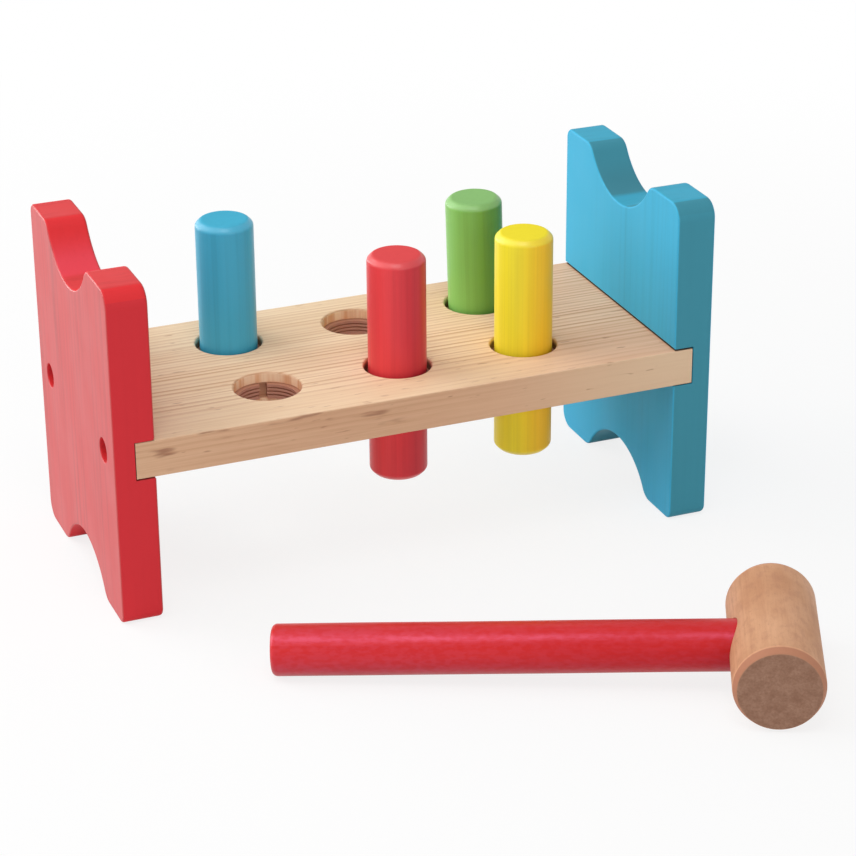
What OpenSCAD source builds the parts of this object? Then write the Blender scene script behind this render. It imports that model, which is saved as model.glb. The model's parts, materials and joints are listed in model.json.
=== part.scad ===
// Peg pounding bench: a board with six gripped holes between two end panels, four pegs and a mallet.
// It stands on the floor at z = 0, with the origin below the middle of the whole set's footprint.
// +X runs along the board to the blue panel, and +Y runs from the mallet to the back of the bench.

/* [End panels] */
// Length of the bench over both end panels
bench_length = 240; // [220:1:280]
// Depth of the end panels and of the board, front to back
bench_depth = 102; // [96:1:120]
// Height of the end panels
panel_height = 132; // [122:1:150]
// Thickness of one end panel
panel_thick = 15.8; // [14.8:0.2:20]
// Radius of a panel's upper front corner and of its lower back corner
round_corner = 7; // [4:0.5:10]
// Radius of a panel's upper back corner and of its lower front corner
tight_corner = 4; // [2:0.5:7]
// Width of the notch in a panel's top and bottom edges, without its rounded rims
notch_width = 53; // [44:1:58]
// Depth of that notch
notch_depth = 16; // [9:0.5:20]
// Radius of the rounding between the notch and the edge
notch_rim = 7; // [2:0.5:8]
// How far the top notch lies behind a panel's middle, and the bottom notch in front of it
notch_shift = 1.6; // [0:0.2:3]

/* [Board] */
// Thickness of the board
board_thick = 14.5; // [13:0.5:18]
// Height of the board's underside above the floor
board_height = 58.4; // [50:0.2:64]
// How far the board is let into each end panel
housing_depth = 7.6; // [5:0.2:8.4]
// Play above and below the board in its housing
housing_play = 0.15; // [0.1:0.05:0.3]

/* [Holes] */
// Diameter of the six holes
hole_diameter = 26; // [25:0.2:29]
// Distance from the left end panel to the middle of the nearest holes
left_margin = 53; // [46:0.2:58]
// Distance from the right end panel to the middle of the nearest holes
right_margin = 50.6; // [46:0.2:58]
// How far the holes lie behind the board's middle
holes_back = 2.2; // [0:0.2:4]
// Softening of the holes' upper and lower edges
hole_edge = 0.5; // [0.2:0.1:1]

/* [Grip rings] */
// Height of a grip ring
ring_height = 5.8; // [4.5:0.1:7]
// How far a grip ring reaches into the wood behind the hole's wall
ring_seat = 1.6; // [1:0.1:2.4]
// Play around a grip ring in its groove
ring_play = 0.15; // [0.1:0.05:0.3]
// Depth of the furrows between a grip ring's ribs
rib_depth = 0.7; // [0.3:0.1:1]
// Number of ribs on a grip ring
rib_count = 4; // [2:1:5]
// Open gap where the ends of a grip ring meet
ring_gap = 3; // [1:0.5:5]

/* [Pegs] */
// Diameter of a peg
peg_diameter = 22.5; // [20:0.1:23.4]
// Length of a peg
peg_length = 90; // [82:1:110]
// Chamfer at both ends of a peg
peg_chamfer = 2; // [0.5:0.1:3]
// Running clearance between a peg and its grip ring, on the radius
peg_clearance = 0.05; // [0.03:0.01:0.1]
// Height of the blue peg above the board
blue_rise = 51; // [20:1:58]
// Height of the red peg above the board
red_rise = 45.3; // [20:0.1:58]
// Height of the green peg above the board
green_rise = 45.2; // [20:0.1:58]
// Height of the yellow peg above the board
yellow_rise = 46.3; // [20:0.1:58]
// Lean of the green peg to the left, in degrees
green_lean = 1.6; // [0:0.1:2]

/* [Screws] */
// Diameter of a screw over its thread
screw_diameter = 4; // [3.4:0.1:4.6]
// Length of a screw
screw_length = 38; // [30:1:42]
// Diameter of a screw's countersunk head
screw_head_diameter = 8; // [7:0.1:9]
// Diameter of the recess that a screw head is sunk in
recess_diameter = 9.4; // [9.2:0.1:11]
// Depth of that recess
recess_depth = 4; // [3:0.1:4.6]
// Distance from a panel's front or back face to the middle of the nearest screw
screw_margin = 14.3; // [12:0.1:18]
// Pitch of a screw's thread
thread_pitch = 1.8; // [1.4:0.1:2.4]

/* [Mallet] */
// Diameter of the mallet's head
head_diameter = 32.5; // [30:0.2:40]
// Length of the mallet's head
head_length = 67; // [56:1:80]
// How far the rim of the head draws in
rim_inset = 1.4; // [0.5:0.1:2.5]
// Length of the rim along the head
rim_length = 3.2; // [1:0.1:6]
// Diameter of the handle
handle_diameter = 19; // [15:0.2:20]
// Reach of the handle from the head's axis to its free end
handle_reach = 178; // [140:0.5:210]
// Depth of the handle's socket in the head
socket_depth = 24; // [18:0.5:26]
// Rounding of the handle's free end
handle_round = 2; // [1:0.1:4]
// Distance of the mallet's head to the right of the bench's middle
head_right = 80.4; // [60:0.2:90]
// Distance from the bench's front to the middle of the mallet's head
head_front = 130; // [110:0.2:180]
// Direction of the handle on the floor, in degrees from the right
handle_heading = 154.7; // [150:0.1:165]

/* [Hidden] */
$fn = 96;

// How far a cut runs past the face that it opens
overrun = 1;
// Clearance around a screw in the wood, on the radius
screw_clearance = 0.05;
// Space left in the wood past a screw's point
screw_space = 1;
// Clearance around the handle in its socket, for glue
glue_gap = 0.05;
// Space left between the handle and the bottom of its socket
socket_space = 0.3;

// Board and panels
board_length = bench_length - 2 * panel_thick + 2 * housing_depth;
board_middle = board_height + board_thick / 2;
screw_spread = bench_depth - 2 * screw_margin;

// Notch: its arc, and from the notch's middle to the middle of a rim's rounding
notch_radius = (notch_width * notch_width / 4 + notch_depth * notch_depth) / (2 * notch_depth);
rim_down = notch_radius - notch_depth + notch_rim;
rim_across = sqrt(notch_depth * (2 * notch_radius - notch_depth + 2 * notch_rim));
// Share of the way between the two middles at which the notch's arc meets the rounding
meeting_share = notch_radius / (notch_radius + notch_rim);

// Three columns of holes between the panels, in two rows, and the row pitch as a share of the depth
row_pitch_share = 0.454;
row_pitch = bench_depth * row_pitch_share;
hole_pitch = (bench_length - 2 * panel_thick - left_margin - right_margin) / 2;
holes_right = (left_margin - right_margin) / 2;
hole_radius = hole_diameter / 2;

// Grip rings
ring_inner = peg_diameter / 2 + peg_clearance;
ring_outer = hole_radius + ring_seat;
rib_pitch = ring_height / rib_count;
// Share of the rib pitch that a furrow takes
furrow_share = 0.6;
// Directions of the rings' gaps in degrees, row by row from the left, the front row first
ring_turns = [[80, 140, 20], [250, 215, 310]];

// Screws
head_cone = (screw_head_diameter - screw_diameter) / 2;
plain_length = panel_thick - housing_depth - recess_depth;
// Shares of the screw's diameter or of its head that its core, point and cross slot take
core_share = 0.7;
point_share = 1.2;
slot_length_share = 0.55;
slot_width_share = 0.13;
slot_depth_share = 0.7;

// Mallet: the handle drops until its end meets the floor beside the head
head_radius = head_diameter / 2;
handle_radius = handle_diameter / 2;
handle_rest = handle_reach - handle_round;
handle_tilt = asin(head_radius / norm([handle_rest, handle_radius])) - atan(handle_radius / handle_rest);

// Front of the whole set, where the mallet's head reaches furthest
head_turn = handle_heading - 180;
head_forward = max(head_length / 2 * cos(head_turn) + (head_radius - rim_inset) * abs(sin(head_turn)),
                   (head_length / 2 - rim_length) * cos(head_turn) + head_radius * abs(sin(head_turn)));
set_front = -bench_depth / 2 - head_front - head_forward;
set_middle = (bench_depth / 2 + set_front) / 2;

// Moves a piece from the bench's own middle to the origin of the whole set
module in_set() {
    translate([0, -set_middle, 0]) children();
}

// Puts a piece on the axis of a hole: column -1, 0 or 1 from the left, row -1 in front or 1 behind
module at_hole(column, row, lean = 0) {
    translate([holes_right + column * hole_pitch, holes_back + row * row_pitch / 2, board_middle])
        rotate([0, -lean, 0]) children();
}

// Lean of the peg in a hole
function lean_at(column, row) = column == 1 && row == 1 ? green_lean : 0;

// A disc with a sloping edge
module bevel_disc(radius_low, radius_high, height) {
    cylinder(h = height, r1 = radius_low, r2 = radius_high);
}

// A round bar along Z about its middle, whose ends draw in by an inset over a run
module drawn_in_bar(radius, length, inset, run) {
    half = length / 2;
    rotate_extrude() polygon([
        [0, -half],
        [radius - inset, -half],
        [radius, run - half],
        [radius, half - run],
        [radius - inset, half],
        [0, half]]);
}

// End panels

// What rounds a corner of the panel off, on one side of its upper edge, which lies at y = 0
module corner_cut(side, radius) {
    translate([side * (bench_depth / 2 - radius), -radius]) difference() {
        translate([side > 0 ? 0 : -radius - overrun, 0]) square(radius + overrun);
        circle(r = radius);
    }
}

// The notch in the panel's upper edge, with what rounds its two rims
module notch_cut() {
    translate([0, notch_radius - notch_depth]) circle(r = notch_radius);
    for (side = [-1, 1]) difference() {
        polygon([
            [0, overrun],
            [side * rim_across, overrun],
            [side * rim_across, 0],
            [side * rim_across * meeting_share, notch_radius - notch_depth - rim_down * meeting_share]]);
        translate([side * rim_across, -notch_rim]) circle(r = notch_rim);
    }
}

// The panel seen from the left, the same again when it is turned upside down
module panel_outline() {
    translate([0, panel_height / 2]) difference() {
        square([bench_depth, panel_height], center = true);
        for (turn = [0, 180]) rotate(turn) translate([0, panel_height / 2]) {
            corner_cut(-1, round_corner);
            corner_cut(1, tight_corner);
            translate([notch_shift, 0]) notch_cut();
        }
    }
}

// A panel whose outer face lies at x = 0 and whose inner face looks along +X
module end_panel() {
    difference() {
        rotate([90, 0, 90]) linear_extrude(height = panel_thick) panel_outline();
        translate([panel_thick - housing_depth, -bench_depth / 2 - overrun, board_height - housing_play])
            cube([housing_depth + overrun, bench_depth + 2 * overrun, board_thick + 2 * housing_play]);
        for (side = [-1, 1]) translate([0, side * screw_spread / 2, board_middle]) rotate([0, 90, 0]) {
            translate([0, 0, -overrun]) cylinder(h = recess_depth + overrun, d = recess_diameter);
            translate([0, 0, recess_depth])
                bevel_disc(screw_head_diameter / 2 + screw_clearance, screw_diameter / 2 + screw_clearance, head_cone);
            cylinder(h = panel_thick, r = screw_diameter / 2 + screw_clearance);
        }
    }
}

module left_end_panel() {
    in_set() color([0.85, 0.25, 0.28]) translate([-bench_length / 2, 0, 0]) end_panel();
}

module right_end_panel() {
    in_set() color([0.25, 0.62, 0.75]) translate([bench_length / 2, 0, 0]) mirror([1, 0, 0]) end_panel();
}

// Board

// The hole, its softened edges and the groove for its grip ring, centred on the board's thickness
module hole_cut(lean) {
    groove_height = ring_height + 2 * (ring_play + ring_outer * sin(lean));
    cylinder(h = board_thick + 2 * overrun, r = hole_radius, center = true);
    cylinder(h = groove_height, r = ring_outer + ring_play + ring_height / 2 * sin(lean), center = true);
    for (turn = [0, 180]) rotate([turn, 0, 0]) translate([0, 0, board_thick / 2 - hole_edge])
        bevel_disc(hole_radius, hole_radius + hole_edge + overrun, hole_edge + overrun);
}

module board() {
    in_set() color([0.88, 0.75, 0.56]) difference() {
        translate([-board_length / 2, -bench_depth / 2, board_height])
            cube([board_length, bench_depth, board_thick]);
        for (column = [-1 : 1], row = [-1, 1]) at_hole(column, row) hole_cut(lean_at(column, row));
        for (end = [-1, 1], side = [-1, 1])
            translate([end * (bench_length / 2 - recess_depth - screw_length - screw_space),
                       side * screw_spread / 2, board_middle])
                rotate([0, end * 90, 0])
                    cylinder(h = screw_length + screw_space, r = screw_diameter / 2 + screw_clearance);
    }
}

// Grip rings

// A split ring with ribs inside, with its gap turned as the table says
module grip_ring(column, row) {
    gap_turn = ring_turns[(row + 1) / 2][column + 1];
    in_set() color([0.42, 0.26, 0.22]) at_hole(column, row, lean_at(column, row)) difference() {
        cylinder(h = ring_height, r = ring_outer, center = true);
        cylinder(h = ring_height + 2 * overrun, r = ring_inner, center = true);
        for (rib = [1 : rib_count - 1]) translate([0, 0, rib * rib_pitch - ring_height / 2])
            rotate_extrude() polygon([
                [0, -rib_pitch * furrow_share / 2],
                [ring_inner, -rib_pitch * furrow_share / 2],
                [ring_inner + rib_depth, 0],
                [ring_inner, rib_pitch * furrow_share / 2],
                [0, rib_pitch * furrow_share / 2]]);
        rotate([0, 0, gap_turn]) translate([0, -ring_gap / 2, -ring_height / 2 - overrun])
            cube([ring_outer + overrun, ring_gap, ring_height + 2 * overrun]);
    }
}

module grip_ring_back_left() { grip_ring(-1, 1); }
module grip_ring_back_middle() { grip_ring(0, 1); }
module grip_ring_back_right() { grip_ring(1, 1); }
module grip_ring_front_left() { grip_ring(-1, -1); }
module grip_ring_front_middle() { grip_ring(0, -1); }
module grip_ring_front_right() { grip_ring(1, -1); }

// Pegs

// A round bar chamfered at both ends, whose top stands at the given height above the board
module peg(column, row, rise) {
    in_set() at_hole(column, row, lean_at(column, row))
        translate([0, 0, board_thick / 2 + rise - peg_length / 2])
            drawn_in_bar(peg_diameter / 2, peg_length, peg_chamfer, peg_chamfer);
}

module blue_peg() { color([0.25, 0.58, 0.68]) peg(-1, 1, blue_rise); }
module red_peg() { color([0.86, 0.22, 0.24]) peg(0, -1, red_rise); }
module green_peg() { color([0.48, 0.70, 0.32]) peg(1, 1, green_rise); }
module yellow_peg() { color([0.93, 0.78, 0.20]) peg(1, -1, yellow_rise); }

// Screws

// A countersunk wood screw whose head lies at z = 0 and whose point looks along +Z
module wood_screw() {
    crest = screw_diameter / 2;
    core = crest * core_share;
    point_length = screw_diameter * point_share;
    slot_length = screw_head_diameter * slot_length_share;
    slot_width = screw_head_diameter * slot_width_share;
    turns = floor((screw_length - plain_length - point_length) / thread_pitch);
    difference() {
        rotate_extrude() polygon(concat(
            [[0, 0], [screw_head_diameter / 2, 0], [crest, head_cone], [crest, plain_length]],
            [for (turn = [0 : turns - 1], half = [0, 1])
                [half == 0 ? core : crest, plain_length + (turn + half / 2) * thread_pitch]],
            [[core, screw_length - point_length], [0, screw_length]]));
        for (turn = [0, 90]) rotate([0, 0, turn])
            translate([-slot_length / 2, -slot_width / 2, -overrun])
                cube([slot_length, slot_width, head_cone * slot_depth_share + overrun]);
    }
}

// A screw in its place: end -1 left or 1 right, side -1 in front or 1 behind
module screw_at(end, side) {
    in_set() color([0.72, 0.70, 0.66])
        translate([end * (bench_length / 2 - recess_depth), side * screw_spread / 2, board_middle])
            rotate([0, -end * 90, 0]) wood_screw();
}

module screw_left_front() { screw_at(-1, -1); }
module screw_left_back() { screw_at(-1, 1); }
module screw_right_front() { screw_at(1, -1); }
module screw_right_back() { screw_at(1, 1); }

// Mallet

// The mallet's own frame: origin in the middle of the head, handle along +X, head along Y
module in_mallet() {
    in_set() translate([head_right, -bench_depth / 2 - head_front, head_radius])
        rotate([0, handle_tilt, handle_heading]) children();
}

module mallet_head() {
    in_mallet() color([0.80, 0.60, 0.44]) difference() {
        rotate([90, 0, 0]) drawn_in_bar(head_radius, head_length, rim_inset, rim_length);
        translate([head_radius - socket_depth, 0, 0]) rotate([0, 90, 0])
            cylinder(h = socket_depth + overrun, r = handle_radius + glue_gap);
    }
}

module mallet_handle() {
    start = head_radius - socket_depth + socket_space;
    in_mallet() color([0.84, 0.18, 0.20]) translate([start, 0, 0]) rotate([0, 90, 0]) {
        cylinder(h = handle_rest - start, r = handle_radius);
        cylinder(h = handle_reach - start, r = handle_radius - handle_round);
        translate([0, 0, handle_rest - start]) rotate_extrude()
            translate([handle_radius - handle_round, 0]) circle(r = handle_round);
    }
}

board();
left_end_panel();
right_end_panel();
grip_ring_back_left();
grip_ring_back_middle();
grip_ring_back_right();
grip_ring_front_left();
grip_ring_front_middle();
grip_ring_front_right();
blue_peg();
red_peg();
green_peg();
yellow_peg();
screw_left_front();
screw_left_back();
screw_right_front();
screw_right_back();
mallet_head();
mallet_handle();
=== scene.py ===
import json
import math
import random

import bmesh
import bpy
from mathutils import Matrix, Vector

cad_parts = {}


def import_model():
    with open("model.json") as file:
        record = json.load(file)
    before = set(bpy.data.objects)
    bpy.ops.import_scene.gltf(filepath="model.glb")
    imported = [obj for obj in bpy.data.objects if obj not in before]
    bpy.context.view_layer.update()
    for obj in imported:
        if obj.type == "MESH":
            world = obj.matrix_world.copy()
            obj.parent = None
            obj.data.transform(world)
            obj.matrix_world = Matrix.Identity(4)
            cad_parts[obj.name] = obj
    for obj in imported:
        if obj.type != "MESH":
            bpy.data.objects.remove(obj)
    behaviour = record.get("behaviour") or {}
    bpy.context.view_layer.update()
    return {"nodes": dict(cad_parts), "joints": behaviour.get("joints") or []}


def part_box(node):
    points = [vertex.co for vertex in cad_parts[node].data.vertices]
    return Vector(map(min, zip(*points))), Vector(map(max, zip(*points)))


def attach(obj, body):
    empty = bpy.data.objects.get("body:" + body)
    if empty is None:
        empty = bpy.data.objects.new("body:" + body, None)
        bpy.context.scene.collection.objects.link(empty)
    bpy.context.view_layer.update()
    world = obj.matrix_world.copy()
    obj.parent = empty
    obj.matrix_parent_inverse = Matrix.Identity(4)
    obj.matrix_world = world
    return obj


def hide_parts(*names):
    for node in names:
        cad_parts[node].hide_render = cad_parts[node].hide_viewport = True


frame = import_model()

MM = 0.001

# Camera: where it looks, seen from the middle of the bench on the floor, and from which side.
# Angles are in degrees, and the sensor is in millimetres, as Blender has it.
VIEW_AZIMUTH = -21.822
VIEW_ELEVATION = 24.770
VIEW_ROLL = -0.416
VIEW_DISTANCE = 1119.6 * MM
TARGET_RIGHT = 22.0 * MM
TARGET_HEIGHT = 33.52 * MM
IMAGE_PIXELS = 856
FOCAL_PIXELS = 2825.3
SENSOR_WIDTH = 36

# Lamps: name, place and target in metres, width and height in metres, power in watts
LAMPS = (
    ("back_left", (-1.00, 0.95, 0.72), (0, 0.08, 0.05), (1.2, 0.9), 9),
    ("low_left", (-0.80, 1.20, 0.19), (0, 0.08, 0.04), (1.2, 0.3), 4.6),
    ("front", (0.10, -1.35, 0.50), (0, 0.05, 0.05), (0.9, 0.6), 2.7),
    ("left", (-0.60, 0.15, 1.00), (0, 0.05, 0.05), (0.9, 0.9), 3.7),
    ("top", (-0.20, -0.45, 1.25), (0, 0, 0.03), (0.5, 0.5), 3.6),
)
WORLD_LEVEL = 0.4

# Floor, in metres: it begins to turn white at one distance from the origin and is white at another
FLOOR_SIZE = 8
FLOOR_WHITENS = 0.2
FLOOR_IS_WHITE = 0.7
FLOOR_GLOW = 0.82
FLOOR_COLOUR = (0.9, 0.9, 0.9, 1)
WHITE = (1, 1, 1, 1)

# End panels: an upper front and a lower back corner are round, the other two are tight
ROUND_CORNER = 7 * MM
TIGHT_CORNER = 4 * MM
NOTCH_WIDTH = 53 * MM
NOTCH_DEPTH = 16 * MM
NOTCH_RIM = 7 * MM
NOTCH_SHIFT = 1.6 * MM
NOTCH_RADIUS = (NOTCH_WIDTH ** 2 / 4 + NOTCH_DEPTH ** 2) / (2 * NOTCH_DEPTH)
PANEL_ARRISES = (0.9 * MM, 1.5 * MM)
CUT_OVERRUN = 1 * MM

# Housings: the gaps above, below and past the board's end, and the rounding of the mouth
RED_GAPS = (0.2 * MM, 0.5 * MM, 0.3 * MM)
BLUE_GAPS = (0.75 * MM, 0.3 * MM, 0.45 * MM)
RED_MOUTH = 1.2 * MM
BLUE_MOUTH = 0.5 * MM

# Screws and their recesses
SCREW_RADIUS = 2 * MM
SCREW_HEAD_RADIUS = 4 * MM
SCREW_CLEARANCE = 0.05 * MM
SCREW_SPACE = 1 * MM
RECESS_RADIUS = 4.7 * MM
RECESS_DEPTH = 4 * MM
RECESS_EDGE = 0.5 * MM

# Board and its holes
BOARD_ARRIS = 0.5 * MM
HOLE_RADIUS = 13 * MM
HOLE_EDGE = 0.8 * MM
GROOVE_PLAY = 0.15 * MM

# Pegs
PEG_RADIUS = 11.25 * MM
PEG_LENGTH = 90 * MM
PEG_CHAMFER = 2 * MM
PEG_SOFTENING = 0.9 * MM

# Mallet
HEAD_RADIUS = 16.25 * MM
HEAD_LENGTH = 67 * MM
RIM_INSET = 1.4 * MM
RIM_LENGTH = 3.2 * MM
RIM_SOFTENING = 0.6 * MM
HANDLE_RADIUS = 9.5 * MM
HANDLE_REACH = 178 * MM
HANDLE_ROUND = 2 * MM
HANDLE_HEADING = 154.7
SOCKET_DEPTH = 24 * MM
SOCKET_SPACE = 0.3 * MM
GLUE_GAP = 0.05 * MM

# Hollows in the paint: how deep at most, how far apart the points are, and how the waves are drawn
PEG_DENTS = 0.02 * MM
HANDLE_DENTS = 0.22 * MM
HANDLE_SEED = 7
DENT_STEP = 4 * MM
DENT_WAVES = 5
MOST_AROUND = 3
MOST_ALONG = 5
LATEST_START = 6.28

# Fineness of the meshes: steps of round stretches, and sides of turned pieces
SOFT_STEPS = 4
ARRIS_STEPS = 5
MOUTH_STEPS = 5
RIM_STEPS = 8
HANDLE_END_STEPS = 8
TIGHT_STEPS = 10
ROUND_STEPS = 12
NOTCH_STEPS = 36
BORE_SIDES = 24
RECESS_SIDES = 48
TURNED_SIDES = 96
MALLET_SIDES = 128

# Shading of the meshes: edges over this angle stay sharp, and large faces stay flat
SHARP_ANGLE = 34
NORMAL_WEIGHT = 100
MERGE_DISTANCE = 1e-7
SOFTENED_SHARE = 0.45

# Stretches over which the board's wood and its painted shade change, along it in the frame's x or across
# from its middle
BOLD_FROM_FRONT = (-42 * MM, -16 * MM)
SHADED_FRONT = (-42 * MM, -12 * MM)
QUIET_BACK = (2 * MM, 32 * MM)
QUIET_RIGHT = (20 * MM, 80 * MM)
PLAIN_RIGHT = (-40 * MM, 70 * MM)
PAINTED_SHADE_RIGHT = (-20 * MM, 110 * MM)
WARM_LEFT = (20 * MM, 105 * MM)
PITH = Vector((0, -66 * MM, -30 * MM))
PINE_RING = 2.4 * MM

# Stretches in the frame's y over which a panel's grain fades. The first is too far off to be reached.
STEADY_GRAIN = (1, 2)
BLUE_GRAIN = (65 * MM, 115 * MM)

# Stretches of the handle, from the middle of the head, over which its painted shade and its shine change
HANDLE_SHADE_STRETCH = (10 * MM, 130 * MM)
HANDLE_SHINY = (40 * MM, 160 * MM)


# Colours

def srgb(red, green, blue):
    """A display colour from 0 to 255 as the linear colour that shaders take."""
    def linear(value):
        share = value / 255
        return share / 12.92 if share <= 0.04045 else ((share + 0.055) / 1.055) ** 2.4
    return (linear(red), linear(green), linear(blue), 1)


PINE_EARLY = srgb(254, 227, 191)
PINE_LATE = srgb(213, 166, 126)
PINE_STREAK = srgb(216, 174, 134)
PINE_FIBRE = srgb(192, 146, 110)
PINE_CLOUD = srgb(228, 186, 146)
PINE_FLECK = srgb(166, 112, 84)
PINE_KNOT = srgb(150, 94, 68)
HOLE_DEEP = srgb(234, 184, 140)
HOLE_PALE = srgb(254, 224, 188)
GROOVE_PAINTED_SHADE = srgb(214, 164, 130)

BEECH_PALE = srgb(222, 170, 132)
BEECH_DEEP = srgb(204, 151, 114)
BEECH_LATE = srgb(182, 122, 90)
BEECH_STREAK = srgb(186, 128, 96)
BEECH_PORE = srgb(160, 106, 80)
BEECH_SCUFF = srgb(176, 122, 96)
BEECH_RIM = srgb(184, 124, 97)
BEECH_CORNER_HIGHLIGHT = srgb(232, 172, 138)
END_DEEP = srgb(146, 107, 86)
END_PALE = srgb(168, 129, 107)
END_GRIT = srgb(128, 93, 74)
END_LATE = srgb(136, 96, 76)

HANDLE_RED = srgb(212, 40, 26)
HANDLE_CLOUD = srgb(200, 34, 34)
HANDLE_STREAK = srgb(232, 66, 58)
HANDLE_UNDERSIDE_SHADE = srgb(180, 30, 30)
HANDLE_SHADE_BY_HEAD = srgb(188, 30, 24)
HANDLE_GLOSS_TINT = (1, 0.38, 0.70, 1)

RUBBER = srgb(180, 128, 104)
RUBBER_CREST_HIGHLIGHT = srgb(192, 140, 120)
RUBBER_DUST = srgb(184, 132, 106)
ZINC_DEEP = srgb(176, 176, 172)
ZINC_PALE = srgb(206, 202, 190)

# Each panel's tones are lit and shaded copies of one paint: painted light and shade, by which way a
# surface looks.
RED_LIT_AND_SHADED_TONES = {
    "face": srgb(200, 61, 62),
    "edge": srgb(216, 55, 62),
    "end": srgb(219, 68, 70),
    "curve": srgb(228, 56, 60),
    "flank": srgb(234, 78, 92),
}
BLUE_LIT_AND_SHADED_TONES = {
    "face": srgb(69, 180, 220),
    "edge": srgb(71, 150, 170),
    "end": srgb(68, 170, 200),
    "curve": srgb(71, 147, 166),
    "flank": srgb(70, 136, 152),
}

# A peg's colours, with painted light and shade: one for its lit side, one for its shaded side and one
# for its ends, and where the shaded side looks
PEG_LIT_AND_SHADED_TONES = {
    "blue": (srgb(74, 185, 222), srgb(72, 178, 214), srgb(78, 178, 209)),
    "red": (srgb(244, 74, 80), srgb(210, 56, 66), srgb(228, 84, 86)),
    "green": (srgb(140, 204, 104), srgb(110, 162, 72), srgb(144, 193, 121)),
    "yellow": (srgb(254, 240, 58), srgb(255, 202, 44), srgb(245, 226, 60)),
}
PEG_PAINTED_SHADE_SIDE = (0.93, -0.37, 0)

# What a colour is multiplied by to darken it. The shades to the right, at the front right, on the long
# edges, in the housing and in the gaps round the pegs are painted shade.
BACK_SHADE = (0.87, 0.87, 0.86, 1)
RIGHT_PAINTED_SHADE = (0.96, 0.80, 0.78, 1)
FRONT_RIGHT_PAINTED_SHADE = (0.94, 0.86, 0.83, 1)
LEFT_SHADE = (0.90, 0.76, 0.70, 1)
LONG_EDGE_PAINTED_SHADE = (0.81, 0.76, 0.74, 1)
PEG_GAP_PAINTED_SHADE = (0.16, 0.12, 0.10, 1)
HOUSING_PAINTED_SHADE = (0.22, 0.20, 0.20, 1)
GRAIN_SHADE = (0.58, 0.56, 0.58, 1)


# Meshes

def arc(centre, radius, start, end, steps):
    """Points of an arc from one angle to another, in degrees, with both ends."""
    turns = [math.radians(start + (end - start) * step / steps) for step in range(steps + 1)]
    return [(centre[0] + radius * math.cos(t), centre[1] + radius * math.sin(t)) for t in turns]


def softened(corners, radius):
    """An open profile whose inner corners are replaced by small curves."""
    points = [corners[0]]
    for before, corner, after in zip(corners, corners[1:], corners[2:]):
        here = Vector(corner)
        back, ahead = (Vector(before) - here), (Vector(after) - here)
        reach = min(radius, back.length * SOFTENED_SHARE, ahead.length * SOFTENED_SHARE)
        start = here + back.normalized() * reach
        end = here + ahead.normalized() * reach
        for step in range(SOFT_STEPS + 1):
            share = step / SOFT_STEPS
            points.append(tuple(start.lerp(here, share).lerp(here.lerp(end, share), share)))
    points.append(corners[-1])
    return points


def mirrored(corners):
    """The points of a profile's lower half, followed by those of its upper half."""
    return corners + [(radius, -height) for radius, height in reversed(corners)]


def stepped(profile, step):
    """A profile with more points along its long stretches."""
    points = []
    for (radius, height), (next_radius, next_height) in zip(profile, profile[1:]):
        pieces = max(1, round(abs(next_height - height) / step))
        for piece in range(pieces):
            share = piece / pieces
            along = height + (next_height - height) * share
            points.append((radius + (next_radius - radius) * share, along))
    return points + [profile[-1]]


def mesh_object(name, verts, faces):
    """A new object with outward faces."""
    mesh = bpy.data.meshes.new(name)
    mesh.from_pydata(verts, [], faces)
    shape = bmesh.new()
    shape.from_mesh(mesh)
    bmesh.ops.remove_doubles(shape, verts=shape.verts, dist=MERGE_DISTANCE)
    bmesh.ops.recalc_face_normals(shape, faces=shape.faces)
    shape.to_mesh(mesh)
    shape.free()
    made = bpy.data.objects.new(name, mesh)
    bpy.context.scene.collection.objects.link(made)
    return made


def lofted(name, rings):
    """A closed solid over rings of equally many points, capped at both ends."""
    count = len(rings[0])
    verts = [point for ring in rings for point in ring]
    faces = [tuple(range(count)), tuple(range(len(verts) - count, len(verts)))]
    for level in range(len(rings) - 1):
        low, high = level * count, (level + 1) * count
        for i in range(count):
            j = (i + 1) % count
            faces.append((low + i, low + j, high + j, high + i))
    return mesh_object(name, verts, faces)


def turned(name, profile, sides=TURNED_SIDES, dent=None):
    """A solid of revolution about Z from (radius, height) points; dent(turn, height) draws it in."""
    rings = []
    for radius, height in profile:
        ring = []
        for side in range(sides):
            turn = 2 * math.pi * side / sides
            here = radius - (dent(turn, height) if dent else 0)
            ring.append((here * math.cos(turn), here * math.sin(turn), height))
        rings.append(ring)
    return lofted(name, rings)


def dents(seed, depth, length):
    """Shallow random hollows of a turned piece, never above its true radius."""
    draw = random.Random(seed)
    waves = []
    for _ in range(DENT_WAVES):
        around, along = draw.randint(1, MOST_AROUND), draw.uniform(1, MOST_ALONG)
        waves.append((around, along, draw.uniform(0, LATEST_START), draw.uniform(0, LATEST_START)))

    def depth_at(turn, height):
        total = 0
        for around, along, start_around, start_along in waves:
            lengthwise = math.cos(along * math.pi * height / length + start_along)
            total += math.cos(around * turn + start_around) * lengthwise
        return depth * (0.5 + 0.5 * total / len(waves))
    return depth_at


def carved(piece, cutters):
    """Cuts the cutters out of the piece and deletes them."""
    for cutter in cutters:
        cut = piece.modifiers.new("cut", "BOOLEAN")
        cut.operation = "DIFFERENCE"
        cut.solver = "EXACT"
        cut.object = cutter
    bpy.context.view_layer.update()
    seen = piece.evaluated_get(bpy.context.evaluated_depsgraph_get())
    solid = bpy.data.meshes.new_from_object(seen)
    piece.modifiers.clear()
    piece.data = solid
    for cutter in cutters:
        bpy.data.objects.remove(cutter)
    return piece


def placed(piece, at, along=(0, 0, 1)):
    """Moves a piece to a point, with its own Z along the given direction."""
    turn = Vector((0, 0, 1)).rotation_difference(Vector(along))
    piece.matrix_world = Matrix.Translation(at) @ turn.to_matrix().to_4x4()
    return piece


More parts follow.
